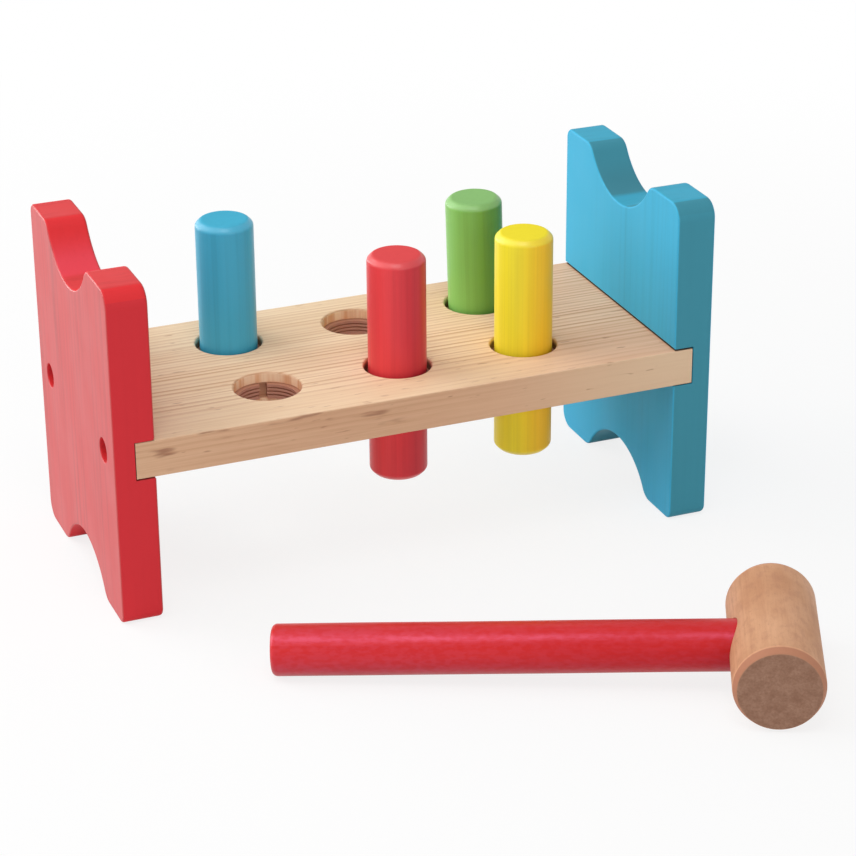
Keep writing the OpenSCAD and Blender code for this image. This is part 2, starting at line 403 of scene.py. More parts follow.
def dressed(piece, material):
    """Gives a piece its one material."""
    piece.data.materials.clear()
    piece.data.materials.append(material)


def finished(piece, body, nodes, material):
    """Shades a piece, gives it its material, and puts it on its body in place of its nodes."""
    for face in piece.data.polygons:
        face.use_smooth = True
    piece.data.set_sharp_from_angle(angle=math.radians(SHARP_ANGLE))
    weights = piece.modifiers.new("even_normals", "WEIGHTED_NORMAL")
    weights.keep_sharp = True
    weights.weight = NORMAL_WEIGHT
    dressed(piece, material)
    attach(piece, body)
    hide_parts(*nodes)


def centre_and_half(node):
    """The middle of a node's box, and its half size."""
    low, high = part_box(node)
    return (low + high) / 2, (high - low) / 2


def middle(node):
    """The middle of a node's box."""
    return centre_and_half(node)[0]


# Materials

class Nodes:
    """A tree of shader nodes. Each call adds nodes, and most return an output to feed on."""

    def __init__(self, tree):
        self.tree = tree

    def node(self, kind, **settings):
        made = self.tree.nodes.new(kind)
        for name, value in settings.items():
            setattr(made, name, value)
        return made

    def feed(self, socket, value):
        """Links an output to a socket, or sets a constant."""
        if isinstance(value, bpy.types.NodeSocket):
            self.tree.links.new(value, socket)
        else:
            socket.default_value = value

    def fed(self, kind, values, **settings):
        """A node with values for its first sockets."""
        made = self.node(kind, **settings)
        for socket, value in zip(made.inputs, values):
            self.feed(socket, value)
        return made

    def maths(self, operation, *values):
        return self.fed("ShaderNodeMath", values, operation=operation).outputs[0]

    def times(self, first, second):
        return self.maths("MULTIPLY", first, second)

    def plus(self, first, second):
        return self.maths("ADD", first, second)

    def minus(self, first, second):
        return self.maths("SUBTRACT", first, second)

    def absolute(self, value):
        return self.maths("ABSOLUTE", value)

    def vectors(self, operation, *values):
        made = self.fed("ShaderNodeVectorMath", values, operation=operation)
        return made.outputs["Value" if operation in ("LENGTH", "DOT_PRODUCT") else "Vector"]

    def parts(self, vector):
        return self.fed("ShaderNodeSeparateXYZ", [vector]).outputs

    def joined(self, x, y, z):
        return self.fed("ShaderNodeCombineXYZ", (x, y, z)).outputs[0]

    def noise(self, vector, scale=1, detail=2, roughness=0.5):
        made = self.node("ShaderNodeTexNoise")
        self.feed(made.inputs["Vector"], vector)
        made.inputs["Scale"].default_value = scale
        made.inputs["Detail"].default_value = detail
        made.inputs["Roughness"].default_value = roughness
        return made.outputs[0]

    def spread(self, value, low, high, to_low=0, to_high=1, smooth=True):
        """Maps a range of values to another, and holds its ends beyond it."""
        kind = "SMOOTHSTEP" if smooth else "LINEAR"
        values = (value, low, high, to_low, to_high)
        return self.fed("ShaderNodeMapRange", values, interpolation_type=kind).outputs[0]

    def seen_directly(self):
        """1 for what the camera, a reflection or a view through glass sees, and 0 for lighting."""
        path = self.node("ShaderNodeLightPath").outputs
        seen = self.maths("MAXIMUM", path["Is Camera Ray"], path["Is Glossy Ray"])
        return self.maths("MAXIMUM", seen, path["Is Transmission Ray"])


class Graph(Nodes):
    """A material's nodes, with the piece's own coordinates and normal."""

    def __init__(self, name, pose=None):
        self.material = bpy.data.materials.new(name)
        self.material.use_nodes = True
        super().__init__(self.material.node_tree)
        self.shader = self.tree.nodes["Principled BSDF"]
        coordinates = self.node("ShaderNodeTexCoord")
        self.place = coordinates.outputs["Object"]
        self.normal = coordinates.outputs["Normal"]
        if pose:
            self.place = self.unposed(self.place, pose.translation, pose.to_euler())
            self.normal = self.unposed(self.normal, (0, 0, 0), pose.to_euler())

    def unposed(self, vector, place, turn):
        """Undoes a pose, so that a piece that lies askew has its grain along its own axes."""
        values = (vector, place, turn)
        return self.fed("ShaderNodeMapping", values, vector_type="TEXTURE").outputs[0]

    def facing(self, axis):
        """1 where the surface looks along an axis, either way, and 0 where it looks across it."""
        return self.absolute(self.parts(self.normal)[axis])

    def reach(self, axis_point):
        """The distance from an upright line through a point."""
        offset = self.vectors("ADD", self.place, (-axis_point.x, -axis_point.y, 0))
        return self.vectors("LENGTH", self.vectors("MULTIPLY", offset, (1, 1, 0)))

    def lumps(self, axis, across, along, start=(0, 0, 0), detail=2, roughness=0.5):
        """Noise that is drawn out along one axis: how many lumps there are in a metre, each way."""
        scale = [across, across, across]
        scale[axis] = along
        moved = self.vectors("ADD", self.place, start)
        return self.noise(self.vectors("MULTIPLY", moved, scale), detail=detail, roughness=roughness)

    def fibres(self, axis, across, along, start=(0, 0, 0)):
        """Fine streaks that run along one axis."""
        return self.lumps(axis, across, along, start, detail=3, roughness=0.6)

    def mixed(self, share, first, second, blend="MIX"):
        made = self.node("ShaderNodeMix", data_type="RGBA", blend_type=blend)
        sockets = (made.inputs[0], made.inputs[6], made.inputs[7])
        for socket, value in zip(sockets, (share, first, second)):
            self.feed(socket, value)
        return made.outputs[2]

    def shaded(self, share, colour, shade):
        """A colour that is multiplied by a shade, as far as the share says."""
        return self.mixed(share, colour, shade, "MULTIPLY")

    def bump(self, height, strength, depth):
        made = self.node("ShaderNodeBump")
        made.inputs["Strength"].default_value = strength
        made.inputs["Distance"].default_value = depth
        self.feed(made.inputs["Height"], height)
        self.feed(self.shader.inputs["Normal"], made.outputs[0])

    def shine(self, level):
        """How strongly the surface mirrors, where that varies over it."""
        self.feed(self.shader.inputs["Specular IOR Level"], level)

    def finish(self, colour, roughness, **sockets):
        """Feeds the shader, with constants for other sockets, and returns the material."""
        self.feed(self.shader.inputs["Base Color"], colour)
        self.feed(self.shader.inputs["Roughness"], roughness)
        for name, value in sockets.items():
            self.shader.inputs[name.replace("_", " ")].default_value = value
        return self.material


def growth_rings(graph, axis, pith, pitch, wobble):
    """Growth rings about a pith line along one axis: how late in its year the wood is, and the year."""
    sway = graph.lumps(axis, 22, 4, detail=1)
    sway = graph.times(graph.minus(sway, 0.5), wobble)
    flat = [1, 1, 1]
    flat[axis] = 0
    centre = [-value for value in pith]
    centre[axis] = 0
    offset = graph.vectors("MULTIPLY", graph.vectors("ADD", graph.place, centre), flat)
    radius = graph.plus(graph.vectors("LENGTH", offset), sway)
    count = graph.maths("DIVIDE", radius, pitch)
    uneven = graph.noise(graph.joined(count, 0.37, 0.61), scale=0.45, detail=1)
    count = graph.plus(count, graph.times(uneven, 1.6))
    year = graph.maths("FRACT", count)
    rise = graph.spread(year, 0.38, 0.82)
    fall = graph.spread(year, 0.90, 1.0, 1, 0)
    return graph.times(rise, fall), graph.maths("FLOOR", count)


def pine():
    """Planed pine with its grain along X, cut across it in the holes' walls, with painted shade to the
    right, at the front right, on the long edges and in the gaps.
    """
    graph = Graph("planed_pine")
    centre, half = centre_and_half("board")
    x, y, z = graph.parts(graph.place)[:3]
    behind = graph.minus(y, centre.y)
    long_edge = graph.facing(1)
    flat = graph.minus(1, long_edge)
    plain = graph.times(long_edge, graph.spread(x, *PLAIN_RIGHT))
    back = graph.times(graph.spread(behind, *QUIET_BACK, 0, 0.5), graph.spread(x, *QUIET_RIGHT, 1, 0.6))
    streaks = graph.fibres(0, 900, 22)
    depth = pine_rings(graph, centre, behind, long_edge, plain, back)
    colour = pine_figure(graph, depth, streaks, plain)
    knots = graph.lumps(0, 300, 50, start=(0.074, 0, 0))
    knots = graph.times(graph.spread(knots, 0.60, 0.76, 0, 0.7), graph.minus(long_edge, plain))
    colour = graph.mixed(knots, colour, PINE_KNOT)
    # Painted shade: darker towards the right, and more so at the front right.
    right = graph.times(graph.spread(x, *PAINTED_SHADE_RIGHT), flat)
    front_right_shade = graph.times(right, graph.spread(behind, *SHADED_FRONT, 1, 0))
    left = graph.times(graph.spread(x, *WARM_LEFT, 0.85, 0), long_edge)
    colour = graph.shaded(back, colour, BACK_SHADE)
    colour = graph.shaded(right, colour, RIGHT_PAINTED_SHADE)
    colour = graph.shaded(front_right_shade, colour, FRONT_RIGHT_PAINTED_SHADE)
    colour = graph.shaded(left, colour, LEFT_SHADE)
    # Painted shade: the long edges are darker and warmer.
    colour = graph.shaded(long_edge, colour, LONG_EDGE_PAINTED_SHADE)
    colour = pine_holes(graph, colour, behind, graph.absolute(graph.minus(z, centre.z)), half)
    # Painted shade: the board is dark where it sits in the housing, so that the gap at the panel's face
    # shows dark.
    inner_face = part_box("right_end_panel")[0].x
    housing_shade = graph.spread(graph.absolute(x), inner_face + 0.1 * MM, inner_face + 0.5 * MM)
    colour = graph.shaded(graph.times(housing_shade, flat), colour, HOUSING_PAINTED_SHADE)
    graph.bump(graph.plus(graph.times(depth, 0.5), streaks), 0.25, 0.12 * MM)
    roughness = graph.spread(streaks, 0.3, 0.7, 0.52, 0.64)
    return graph.finish(colour, roughness, Specular_IOR_Level=0.3)


def pine_rings(graph, centre, behind, long_edge, plain, back):
    """How dark the board's late wood is: fainter at the front, at the back and on the long edges."""
    late, year = growth_rings(graph, 0, centre + PITH, PINE_RING, PINE_RING)
    of_year = graph.noise(graph.joined(year, 0.5, 0.5), scale=0.83, detail=0)
    depth = graph.times(late, graph.spread(of_year, 0.3, 0.7, 0.35, 1))
    bold = graph.spread(behind, *BOLD_FROM_FRONT, 0.22, 1)
    depth = graph.times(depth, graph.maths("MAXIMUM", bold, graph.times(long_edge, 0.32)))
    depth = graph.times(depth, graph.minus(1, back))
    return graph.times(depth, graph.minus(1, plain))


def pine_figure(graph, depth, streaks, plain):
    """The board's colour from its rings, streaks, fibres, clouds and flecks."""
    figured = graph.spread(plain, 0, 1, 1, 0.3, smooth=False)
    fine = graph.fibres(0, 2600, 60)
    clouds = graph.lumps(0, 40, 9)
    flecks = graph.lumps(0, 620, 110, start=(0.3, 0, 0))
    colour = graph.mixed(depth, PINE_EARLY, PINE_LATE)
    streaky = graph.times(graph.spread(streaks, 0.40, 0.75, 0, 0.34), figured)
    colour = graph.mixed(streaky, colour, PINE_STREAK)
    fibrous = graph.times(graph.spread(fine, 0.5, 0.8, 0, 0.22), figured)
    colour = graph.mixed(fibrous, colour, PINE_FIBRE)
    colour = graph.mixed(graph.spread(clouds, 0.35, 0.7, 0, 0.30), colour, PINE_CLOUD)
    return graph.mixed(graph.spread(flecks, 0.66, 0.76, 0, 0.5), colour, PINE_FLECK)


def pine_holes(graph, colour, behind, from_middle, half):
    """The holes' walls: banded, with painted shade in the grip ring's groove and in the gap round a
    standing peg.
    """
    upright = graph.spread(graph.facing(2), 0.2, 0.6, 1, 0)
    inside = graph.spread(graph.absolute(behind), half.y - 1 * MM, half.y - 0.7 * MM, 1, 0)
    bands = graph.lumps(2, 330, 8, start=(0.05, 0, 0), detail=3, roughness=0.55)
    walls = graph.mixed(graph.spread(bands, 0.38, 0.62), HOLE_DEEP, HOLE_PALE)
    colour = graph.mixed(graph.times(upright, inside), colour, walls)
    groove = centre_and_half("grip_ring_front_left")[1].z
    # Painted shade in the grip ring's groove.
    groove_shade = graph.spread(from_middle, groove + 0.2 * MM, groove + 0.6 * MM, 1, 0)
    colour = graph.mixed(graph.times(inside, groove_shade), colour, GROOVE_PAINTED_SHADE)
    # Painted shade in the gap round a standing peg, darker deeper down the hole.
    nearest = 1
    for name in PEGS:
        nearest = graph.maths("MINIMUM", graph.reach(middle(name)), nearest)
    round_peg = graph.spread(nearest, HOLE_RADIUS + 1.0 * MM, HOLE_RADIUS + 1.5 * MM, 1, 0)
    peg_gap_shade = graph.times(inside, round_peg)
    mouth = graph.spread(from_middle, half.z - 2.6 * MM, half.z - 0.6 * MM, 0.85, 0)
    return graph.shaded(graph.times(peg_gap_shade, mouth), colour, PEG_GAP_PAINTED_SHADE)


def panel_paint(name, lit_and_shaded_tones, grain, gloss, shine, steady=STEADY_GRAIN):
    """Thin paint on upright grain, with painted light and shade: a lit or shaded tone each for a panel's
    faces, edges, ends, curves and flanks.
    """
    graph = Graph(name)
    on_face = graph.spread(graph.facing(0), 0.35, 0.8)
    outline = graph.vectors("NORMALIZE", graph.vectors("MULTIPLY", graph.normal, (0, 1, 1)))
    rise = graph.parts(outline)[2]
    brushed = graph.fibres(0, 420, 40)
    level = graph.spread(graph.plus(rise, graph.times(brushed, 0.03)), 0.98, 1.005)
    y = graph.parts(graph.place)[1]
    flank = middle("board").y + NOTCH_WIDTH / 4
    from_flank = graph.absolute(graph.minus(y, flank))
    by_flank = graph.spread(from_flank, 2 * MM, 13 * MM, 0.8, 0)
    # Painted light and shade: these tones differ by which way the surface looks.
    colour = graph.mixed(by_flank, lit_and_shaded_tones["curve"], lit_and_shaded_tones["flank"])
    colour = graph.mixed(graph.spread(rise, 0.40, 0.46), lit_and_shaded_tones["edge"], colour)
    colour = graph.mixed(level, colour, lit_and_shaded_tones["end"])
    colour = graph.mixed(on_face, colour, lit_and_shaded_tones["face"])
    broad = graph.fibres(2, 240, 3)
    fine = graph.fibres(2, 520, 7)
    patches = graph.lumps(2, 50, 16)
    streaks = graph.plus(graph.spread(broad, 0.45, 0.72, 0, 0.55), graph.spread(fine, 0.45, 0.78))
    streaks = graph.times(streaks, graph.spread(patches, 0.35, 0.62, 0.35, 1))
    streaks = graph.times(streaks, graph.spread(y, *steady, 1, 0.12))
    streaks = graph.times(streaks, graph.spread(on_face, 0, 1, 0.07, grain, smooth=False))
    brush_marks = graph.times(graph.spread(brushed, 0.42, 0.72, 0, 0.22), level)
    brush_marks = graph.times(brush_marks, graph.minus(1, on_face))
    colour = graph.shaded(graph.plus(streaks, brush_marks), colour, GRAIN_SHADE)
    graph.bump(graph.times(graph.plus(broad, fine), on_face), 0.15, 0.10 * MM)
    graph.shine(graph.spread(on_face, 0.5, 1, 0.06, shine))
    clouds = graph.lumps(2, 60, 40)
    return graph.finish(colour, graph.spread(clouds, 0.3, 0.7, gloss, gloss + 0.07))


def peg_paint(name, lit, shaded, end, start):
    """Gloss paint on a turned peg, with painted shade: darker on the side to the right and in front,
    with a bright bevel.
    """
    graph = Graph(name)
    endwise = graph.facing(2)
    flat = graph.spread(endwise, 0.70, 1.0)
    right = graph.vectors("DOT_PRODUCT", graph.normal, PEG_PAINTED_SHADE_SIDE)
    streaks = graph.fibres(2, 420, 5, start)
    lines = graph.fibres(2, 1500, 10, start)
    clouds = graph.lumps(2, 20, 9, start)
    # Painted light and shade: the lit copy turns into the shaded copy towards the side to the right and
    # in front.
    colour = graph.mixed(graph.spread(right, -0.5, 0.75), lit, shaded)
    colour = graph.mixed(graph.spread(endwise, 0.1, 0.5, 0, 0.55), colour, end)
    colour = graph.mixed(flat, colour, end)
    grain = graph.plus(graph.spread(streaks, 0.42, 0.68), graph.spread(lines, 0.45, 0.8, 0, 0.6))
    grain = graph.times(grain, graph.spread(endwise, 0.1, 0.5, 0.16, 0.05))
    grain = graph.plus(grain, graph.spread(clouds, 0.35, 0.7, 0, 0.08))
    colour = graph.shaded(grain, colour, GRAIN_SHADE)
    graph.bump(streaks, 0.05, 0.05 * MM)
    graph.shine(graph.times(graph.spread(endwise, 0.1, 0.5, 0.22, 0.45), graph.minus(1, flat)))
    return graph.finish(colour, graph.spread(clouds, 0.3, 0.7, 0.30, 0.36))


def handle_paint(pose):
    """Gloss paint on the handle, grain along its own Z, with a slightly uneven, mottled shine, and
    painted shade on its underside and towards the head.
    """
    graph = Graph("red_handle_gloss", pose)
    streaks = graph.fibres(2, 500, 12)
    clouds = graph.lumps(2, 60, 14)
    specks = graph.lumps(2, 900, 420)
    patch = graph.lumps(2, 30, 22, start=(0, 0, 0.11), detail=1)
    mottle = graph.lumps(2, 620, 330)
    from_head = graph.parts(graph.place)[2]
    downward = graph.parts(graph.normal)[0]
    colour = graph.mixed(graph.spread(clouds, 0.35, 0.7, 0, 0.5), HANDLE_RED, HANDLE_CLOUD)
    colour = graph.mixed(graph.spread(streaks, 0.45, 0.75, 0, 0.25), colour, HANDLE_STREAK)
    # Painted shade: darker on the underside and towards the head.
    colour = graph.mixed(graph.spread(downward, -0.3, 0.7, 0, 0.85), colour, HANDLE_UNDERSIDE_SHADE)
    colour = graph.mixed(graph.spread(from_head, *HANDLE_SHADE_STRETCH, 0.5, 0), colour, HANDLE_SHADE_BY_HEAD)
    grit = graph.times(specks, graph.spread(patch, 0.42, 0.62, 0.25, 1))
    graph.bump(graph.plus(grit, graph.times(streaks, 0.5)), 0.30, 0.20 * MM)
    mottled = graph.spread(mottle, 0.35, 0.65, 0.55, 0.85)
    shine = graph.times(mottled, graph.spread(from_head, *HANDLE_SHINY, 0.75, 1.25))
    slant = graph.node("ShaderNodeLayerWeight").outputs["Facing"]
    graph.shine(graph.times(shine, graph.spread(slant, 0.45, 0.95, 1, 0.1)))
    roughness = graph.spread(patch, 0.3, 0.7, 0.31, 0.39)
    return graph.finish(colour, roughness, Specular_Tint=HANDLE_GLOSS_TINT)


def beech(pose):
    """Turned hardwood with its grain along the piece's own Z, darker on the end grain, with a painted
    highlight where the flank meets each rim.
    """
    graph = Graph("turned_beech", pose)
    endwise = graph.facing(2)
    end = graph.spread(endwise, 0.75, 0.97)
    rim = graph.times(graph.spread(endwise, 0.30, 0.38), graph.minus(1, end))
    corner = graph.times(graph.spread(endwise, 0.02, 0.10), graph.spread(endwise, 0.2, 0.34, 1, 0))
    late, _ = growth_rings(graph, 2, (9 * MM, -26 * MM, 0), 2.1 * MM, 2 * MM)
    streaks = graph.fibres(2, 1300, 90)
    clouds = graph.lumps(2, 55, 30, detail=4, roughness=0.6)
    pores = graph.lumps(2, 1900, 600)
    scuffs = graph.lumps(2, 300, 180, start=(0.2, 0, 0), detail=3, roughness=0.6)
    colour = graph.mixed(graph.spread(clouds, 0.3, 0.7), BEECH_PALE, BEECH_DEEP)
    colour = graph.mixed(graph.times(late, 0.16), colour, BEECH_LATE)
    colour = graph.mixed(graph.spread(streaks, 0.45, 0.75, 0, 0.25), colour, BEECH_STREAK)
    colour = graph.mixed(graph.spread(pores, 0.60, 0.75, 0, 0.25), colour, BEECH_PORE)
    # Painted highlight along the corner between the flank and each rim.
    colour = graph.mixed(graph.times(corner, 0.5), colour, BEECH_CORNER_HIGHLIGHT)
    colour = graph.mixed(graph.times(rim, 0.85), colour, BEECH_RIM)
    colour = graph.mixed(graph.spread(scuffs, 0.45, 0.72, 0, 0.3), colour, BEECH_SCUFF)
    colour = graph.mixed(end, colour, end_grain(graph, late))
    graph.bump(graph.plus(streaks, pores), 0.2, 0.08 * MM)
    roughness = graph.spread(clouds, 0.3, 0.7, 0.5, 0.62)
    return graph.finish(colour, roughness, Specular_IOR_Level=0.18)


def end_grain(graph, late):
    """The head's flat ends: brown, mottled and gritty, with faint growth rings."""
    mottle = graph.lumps(2, 240, 60, detail=4, roughness=0.7)
    grit = graph.lumps(2, 1100, 300)
    colour = graph.mixed(graph.spread(mottle, 0.3, 0.7), END_DEEP, END_PALE)
    colour = graph.mixed(graph.spread(grit, 0.4, 0.7, 0, 0.35), colour, END_GRIT)
    return graph.mixed(graph.times(late, 0.12), colour, END_LATE)


def rubber(ring):
    """Dull brown rubber of a grip ring, with a painted highlight on the crests of its ribs."""
    graph = Graph("rubber_" + ring)
    reach = graph.reach(middle(ring))
    crest_highlight = graph.spread(reach, PEG_RADIUS, PEG_RADIUS + 0.5 * MM, 1, 0)
    dust = graph.lumps(2, 350, 900, detail=3)
    # Painted highlight on the rib crests nearest the peg.
    colour = graph.mixed(graph.times(crest_highlight, 0.85), RUBBER, RUBBER_CREST_HIGHLIGHT)
    colour = graph.mixed(graph.spread(dust, 0.4, 0.7, 0, 0.45), colour, RUBBER_DUST)
    graph.bump(dust, 0.15, 0.1 * MM)
    return graph.finish(colour, graph.spread(dust, 0.3, 0.7, 0.5, 0.7))


def steel():
    """Zinc-plated steel, slightly clouded."""
    graph = Graph("zinc_steel")
    clouds = graph.lumps(2, 700, 700, detail=3)
    colour = graph.mixed(clouds, ZINC_DEEP, ZINC_PALE)
    graph.bump(clouds, 0.1, 0.05 * MM)
    return graph.finish(colour, graph.spread(clouds, 0.3, 0.7, 0.28, 0.42), Metallic=1)


# Pieces

def panel_outline(inset, half_depth, half_height):
    """The panel's outline about its middle, front at -Y, drawn in by an inset."""
    rim_down = NOTCH_RADIUS - NOTCH_DEPTH + NOTCH_RIM
    rim_across = math.sqrt((NOTCH_RADIUS + NOTCH_RIM) ** 2 - rim_down ** 2)
    rim_end = math.degrees(math.atan2(rim_down, -rim_across))
    notch_top = (NOTCH_SHIFT, half_height - NOTCH_DEPTH + NOTCH_RADIUS)
    back_rim = (NOTCH_SHIFT + rim_across, half_height - NOTCH_RIM)
    front_rim = (NOTCH_SHIFT - rim_across, half_height - NOTCH_RIM)
    back_corner = (half_depth - TIGHT_CORNER, half_height - TIGHT_CORNER)
    front_corner = (ROUND_CORNER - half_depth, half_height - ROUND_CORNER)
    upper = arc(back_corner, TIGHT_CORNER - inset, 0, 90, TIGHT_STEPS)
    upper += arc(back_rim, NOTCH_RIM - inset, 90, rim_end, RIM_STEPS)
    upper += arc(notch_top, NOTCH_RADIUS + inset, rim_end - 180, -rim_end, NOTCH_STEPS)[1:]
    upper += arc(front_rim, NOTCH_RIM - inset, 180 - rim_end, 90, RIM_STEPS)[1:]
    upper += arc(front_corner, ROUND_CORNER - inset, 90, 180, ROUND_STEPS)
    return upper + [(-across, -up) for across, up in upper]


def housing_cutter(side, centre, half, gaps, mouth):
    """The board's space in a panel, open towards the side that the panel's inner face looks to."""
    board_low, board_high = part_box("board")
    above, below, past = gaps
    top, bottom = board_high.z + above, board_low.z - below
    face = centre.x + side * half.x
    end = (board_low.x if side > 0 else board_high.x) - side * past
    depth = side * (face - end)
    upper = [(-depth, top)] + arc((-mouth, top + mouth), mouth, -90, 0, MOUTH_STEPS)
    upper.append((CUT_OVERRUN, top + mouth))
    lower = [(-depth, bottom)] + arc((-mouth, bottom - mouth), mouth, 90, 0, MOUTH_STEPS)
    lower.append((CUT_OVERRUN, bottom - mouth))
    outline = upper + lower[::-1]
    reach = half.y + CUT_OVERRUN
    edges = (centre.y - reach, centre.y + reach)
    return lofted("cutter", [[(face + side * out, y, z) for out, z in outline] for y in edges])


def recess_cutter(thickness):
    """The space of a screw in a panel, from the outer face inwards along Z."""
    head = SCREW_HEAD_RADIUS + SCREW_CLEARANCE
    shank = SCREW_RADIUS + SCREW_CLEARANCE
    profile = [(RECESS_RADIUS + RECESS_EDGE, -CUT_OVERRUN)]
    profile += arc((RECESS_RADIUS + RECESS_EDGE, RECESS_EDGE), RECESS_EDGE, -90, -180, SOFT_STEPS)
    profile += [(RECESS_RADIUS, RECESS_DEPTH), (head, RECESS_DEPTH)]
    profile += [(shank, RECESS_DEPTH + SCREW_HEAD_RADIUS - SCREW_RADIUS), (shank, thickness)]
    return turned("cutter", profile, sides=RECESS_SIDES)


def end_panel(name, node, side, gaps, mouth, material):
    """A painted end panel with rounded arrises, its housing and its screw recesses."""
    centre, half = centre_and_half(node)
    rings = []
    for face, arris in zip((-1, 1), PANEL_ARRISES):
        steps = range(ARRIS_STEPS + 1)
        for step in steps if face < 0 else reversed(steps):
            turn = math.pi / 2 * step / ARRIS_STEPS
            inset = arris * (1 - math.sin(turn))
            x = face * (half.x - arris * (1 - math.cos(turn)))
            rings.append([(x, y, z) for y, z in panel_outline(inset, half.y, half.z)])
    panel = lofted(name, rings)
    panel.data.transform(Matrix.Translation(centre))
    cutters = [housing_cutter(side, centre, half, gaps, mouth)]
    for screw in ("front", "back"):
        place = middle(f"screw_{'left' if side > 0 else 'right'}_{screw}")
        recess = Vector((centre.x - side * half.x, place.y, place.z))
        cutters.append(placed(recess_cutter(2 * half.x), recess, (side, 0, 0)))
    finished(carved(panel, cutters), "bench", [node], material)


def hole_cutter(ring, thickness):
    """The space of a hole with its softened edges and the groove of its grip ring."""
    low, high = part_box(ring)
    groove_radius = (high.x - low.x) / 2 + GROOVE_PLAY
    groove_half = (high.z - low.z) / 2 + GROOVE_PLAY
    half = thickness / 2
    lip = arc((HOLE_RADIUS + HOLE_EDGE, half - HOLE_EDGE), HOLE_EDGE, 180, 90, SOFT_STEPS)
    upper = [(HOLE_RADIUS, groove_half)] + lip + [(HOLE_RADIUS + HOLE_EDGE, half + CUT_OVERRUN)]
    lower = [(radius, -height) for radius, height in reversed(upper)]
    profile = lower + [(groove_radius, -groove_half), (groove_radius, groove_half)] + upper
    return placed(turned("cutter", profile), (low + high) / 2)


def bore_cutter(screw):
    """The space of a screw's shank in the board, with some room past its tip."""
    low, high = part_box(screw)
    centre = (low + high) / 2
    inward = 1 if centre.x < 0 else -1
    bore = SCREW_RADIUS + SCREW_CLEARANCE
    length = high.x - low.x + SCREW_SPACE
    start = low.x if inward > 0 else high.x
    cutter = turned("cutter", [(bore, 0), (bore, length)], sides=BORE_SIDES)
    return placed(cutter, (start, centre.y, centre.z), (inward, 0, 0))


def board():
    """The pine board with its six holes and the bores of its screws."""
    centre, half = centre_and_half("board")
    section = []
    for across, up, start in ((1, 1, 0), (-1, 1, 90), (-1, -1, 180), (1, -1, 270)):
        corner = (across * (half.y - BOARD_ARRIS), up * (half.z - BOARD_ARRIS))
        section += arc(corner, BOARD_ARRIS, start, start + 90, SOFT_STEPS)
    plank = lofted("pine_board", [[(x, y, z) for y, z in section] for x in (-half.x, half.x)])
    plank.data.transform(Matrix.Translation(centre))
    cutters = [hole_cutter(ring, 2 * half.z) for ring in RINGS]
    cutters += [bore_cutter(screw) for screw in SCREWS]
    finished(carved(plank, cutters), "bench", ["board"], pine())


def peg(colour, axis, seed, material):
    """A painted peg, with softened chamfers and its paint's slight hollows."""
    node = colour + "_peg"
    half = PEG_LENGTH / 2
    corners = [(0, -half), (PEG_RADIUS - PEG_CHAMFER, -half), (PEG_RADIUS, PEG_CHAMFER - half)]
    profile = stepped(softened(mirrored(corners), PEG_SOFTENING)[1:-1], DENT_STEP)
    made = turned("peg_" + colour, profile, dent=dents(seed, PEG_DENTS, PEG_LENGTH))
    placed(made, middle(node), axis)
    finished(made, node + "_body", [node], material)


def mallet_pose():
    """The mallet's own frame on the floor: handle along X, head along Y, origin in the head."""
    rest = HANDLE_REACH - HANDLE_ROUND
    tilt = math.asin(HEAD_RADIUS / math.hypot(rest, HANDLE_RADIUS)) - math.atan(HANDLE_RADIUS / rest)
    turn = Matrix.Rotation(math.radians(HANDLE_HEADING), 4, "Z") @ Matrix.Rotation(tilt, 4, "Y")
    return Matrix.Translation(middle("mallet_head")) @ turn


def mallet_head(pose):
    """The turned head with its drawn-in rims and the handle's socket."""
    half = HEAD_LENGTH / 2
    corners = [(0, -half), (HEAD_RADIUS - RIM_INSET, -half), (HEAD_RADIUS, RIM_LENGTH - half)]
    profile = stepped(softened(mirrored(corners), RIM_SOFTENING)[1:-1], DENT_STEP)
    head = turned("head_turned", profile, sides=MALLET_SIDES)
    lying = pose @ Matrix.Rotation(math.radians(90), 4, "X")
    head.data.transform(lying)
    bore = HANDLE_RADIUS + GLUE_GAP
    socket = turned("cutter", [(bore, HEAD_RADIUS - SOCKET_DEPTH), (bore, HEAD_RADIUS + CUT_OVERRUN)])
    socket.data.transform(pose @ Matrix.Rotation(math.radians(90), 4, "Y"))
    finished(carved(head, [socket]), "mallet", ["mallet_head"], beech(lying))


def mallet_handle(pose):
    """The painted handle with its rounded end and slight dents."""
    start = HEAD_RADIUS - SOCKET_DEPTH + SOCKET_SPACE
    flat = HANDLE_RADIUS - HANDLE_ROUND
    end = arc((flat, HANDLE_REACH - HANDLE_ROUND), HANDLE_ROUND, 0, 90, HANDLE_END_STEPS)
    profile = stepped([(HANDLE_RADIUS, start)] + end, DENT_STEP)
    hollows = dents(HANDLE_SEED, HANDLE_DENTS, HANDLE_REACH)
    handle = turned("handle_turned", profile, sides=MALLET_SIDES, dent=hollows)
    lying = pose @ Matrix.Rotation(math.radians(90), 4, "Y")
    handle.data.transform(lying)
    finished(handle, "mallet", ["mallet_handle"], handle_paint(lying))


RINGS = [name for name in frame["nodes"] if name.startswith("grip_ring")]
PEGS = [name for name in frame["nodes"] if name.endswith("_peg")]
SCREWS = [name for name in frame["nodes"] if name.startswith("screw")]

red_paint = panel_paint("red_panel_paint", RED_LIT_AND_SHADED_TONES, grain=0.60, gloss=0.42, shine=0.6)
blue_paint = panel_paint(
    "blue_panel_paint", BLUE_LIT_AND_SHADED_TONES, grain=0.26, gloss=0.45, shine=0.12, steady=BLUE_GRAIN)
end_panel("red_end_panel", "left_end_panel", 1, RED_GAPS, RED_MOUTH, red_paint)
end_panel("blue_end_panel", "right_end_panel", -1, BLUE_GAPS, BLUE_MOUTH, blue_paint)
board()

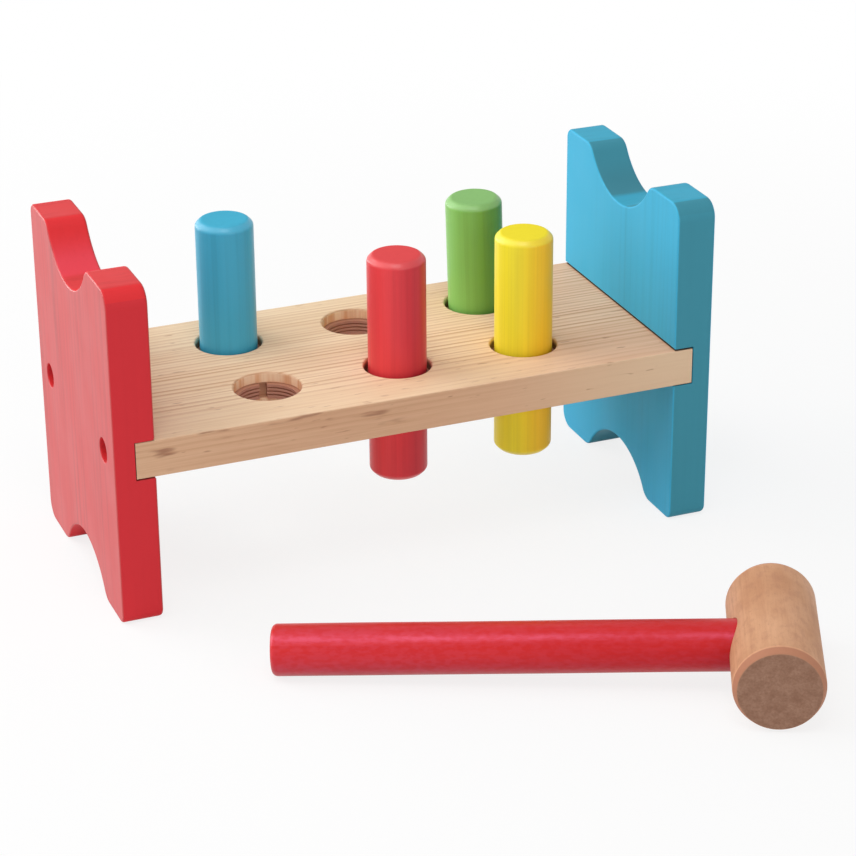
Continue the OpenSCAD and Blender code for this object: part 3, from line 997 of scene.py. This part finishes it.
slides = {joint["child"]: joint["axis"] for joint in frame["joints"]}
for number, (name, lit_and_shaded_tones) in enumerate(PEG_LIT_AND_SHADED_TONES.items()):
    paint = peg_paint(name + "_peg_gloss", *lit_and_shaded_tones, start=(0.1 * number, 0.07, 0.3))
    peg(name, slides[name + "_peg_body"], number + 1, paint)

resting = mallet_pose()
mallet_head(resting)
mallet_handle(resting)

for ring in RINGS:
    dressed(frame["nodes"][ring], rubber(ring))
zinc = steel()
for screw in SCREWS:
    dressed(frame["nodes"][screw], zinc)


# Floor, light and camera

def area_light(name, place, target, size, power):
    """A rectangular lamp at a place, turned towards a target."""
    light = bpy.data.lights.new(name, "AREA")
    light.shape = "RECTANGLE"
    light.size, light.size_y = size
    light.energy = power
    lamp = bpy.data.objects.new(name, light)
    lamp.location = place
    lamp.rotation_mode = "QUATERNION"
    lamp.rotation_quaternion = (Vector(target) - Vector(place)).to_track_quat("-Z", "Y")
    bpy.context.scene.collection.objects.link(lamp)


def emptied(owner):
    """The nodes of a material or a world, with none in them yet."""
    owner.use_nodes = True
    owner.node_tree.nodes.clear()
    return Nodes(owner.node_tree)


def world():
    """A background that is white to the eye and lights the object softly."""
    made = bpy.data.worlds.new("white_room")
    bpy.context.scene.world = made
    nodes = emptied(made)
    strength = nodes.spread(nodes.seen_directly(), 0, 1, WORLD_LEVEL, 1, smooth=False)
    background = nodes.fed("ShaderNodeBackground", (WHITE, strength))
    nodes.fed("ShaderNodeOutputWorld", [background.outputs[0]])


def floor():
    """A plain pale floor. To the eye it turns to plain white away from the object's shadow."""
    half = FLOOR_SIZE / 2
    corners = [(-half, -half, 0), (half, -half, 0), (half, half, 0), (-half, half, 0)]
    made = mesh_object("floor", corners, [(0, 1, 2, 3)])
    material = bpy.data.materials.new("pale_floor")
    nodes = emptied(material)
    diffuse = nodes.fed("ShaderNodeBsdfDiffuse", [FLOOR_COLOUR])
    white = nodes.node("ShaderNodeEmission")
    reach = nodes.vectors("LENGTH", nodes.node("ShaderNodeTexCoord").outputs["Object"])
    whiteness = nodes.spread(reach, FLOOR_WHITENS, FLOOR_IS_WHITE, FLOOR_GLOW, 1)
    share = nodes.times(whiteness, nodes.seen_directly())
    both = nodes.fed("ShaderNodeMixShader", (share, diffuse.outputs[0], white.outputs[0]))
    nodes.fed("ShaderNodeOutputMaterial", [both.outputs[0]])
    made.data.materials.append(material)


def camera():
    """The camera at the photograph's place."""
    turn, rise = math.radians(VIEW_AZIMUTH), math.radians(VIEW_ELEVATION)
    level = math.cos(rise)
    back = Vector((math.sin(turn) * level, -math.cos(turn) * level, math.sin(rise)))
    data = bpy.data.cameras.new("camera")
    data.sensor_width = SENSOR_WIDTH
    data.lens = SENSOR_WIDTH * FOCAL_PIXELS / IMAGE_PIXELS
    made = bpy.data.objects.new("camera", data)
    target = Vector((TARGET_RIGHT, middle("board").y, TARGET_HEIGHT))
    aim = (-back).to_track_quat("-Z", "Y").to_matrix().to_4x4()
    roll = Matrix.Rotation(math.radians(VIEW_ROLL), 4, "Z")
    made.matrix_world = Matrix.Translation(target + back * VIEW_DISTANCE) @ aim @ roll
    bpy.context.scene.collection.objects.link(made)
    bpy.context.scene.camera = made


bpy.context.scene.view_settings.view_transform = "Standard"
world()
floor()
for lamp in LAMPS:
    area_light(*lamp)
camera()
